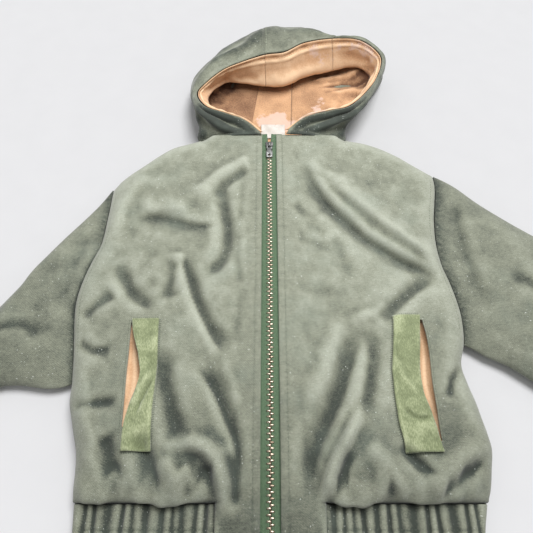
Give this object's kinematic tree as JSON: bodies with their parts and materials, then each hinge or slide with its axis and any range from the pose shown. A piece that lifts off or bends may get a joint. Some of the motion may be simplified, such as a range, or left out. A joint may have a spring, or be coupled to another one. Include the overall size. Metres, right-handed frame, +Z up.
{
  "type": "hooded blouson jacket",
  "caption": "Child's hooded blouson jacket in faded olive twill, zipped up and laid flat on its back with the hood open.",
  "frame": {"origin": "middle of the laid garment's footprint, on the surface that it lies on", "axes": "+X to the wearer's left, +Y from the hem to the hood along the zip, +Z up from the surface, out of the chest"},
  "size_m": [0.8478, 0.5735, 0.0595],
  "materials": {
    "shell": "faded, washed cotton twill",
    "lining": "matt peach cotton, creased and stained",
    "welt": "napped moss green",
    "tape": "woven zip tape",
    "metal": "worn, dull grey plating",
    "label": "blank woven label"
  },
  "bodies": {
    "jacket": {"back": "shell", "front_left": "shell", "front_right": "shell", "hem_band_back": "shell", "hem_band_left": "shell", "hem_band_right": "shell", "hood_centre": "shell", "hood_lining_centre": "lining", "hood_lining_left": "lining", "hood_lining_right": "lining", "hood_side_left": "shell", "hood_side_right": "shell", "neck_label": "label", "pocket_bag_left": "lining", "pocket_bag_right": "lining", "pocket_welt_left": "welt", "pocket_welt_right": "welt", "sleeve_left": "shell", "sleeve_right": "shell", "zip_slider": "metal", "zip_tape_left": "tape", "zip_tape_right": "tape"},
    "pull_tab": {"zip_pull": "metal"}
  },
  "joints": [
    {"name": "pull_tab_hinge", "type": "hinge", "parent": "jacket", "child": "pull_tab", "pos_m": [-0.00959, 0.09031, 0.02677], "axis": [-1, 0, 0], "range_deg": [0, 135]}
  ]
}
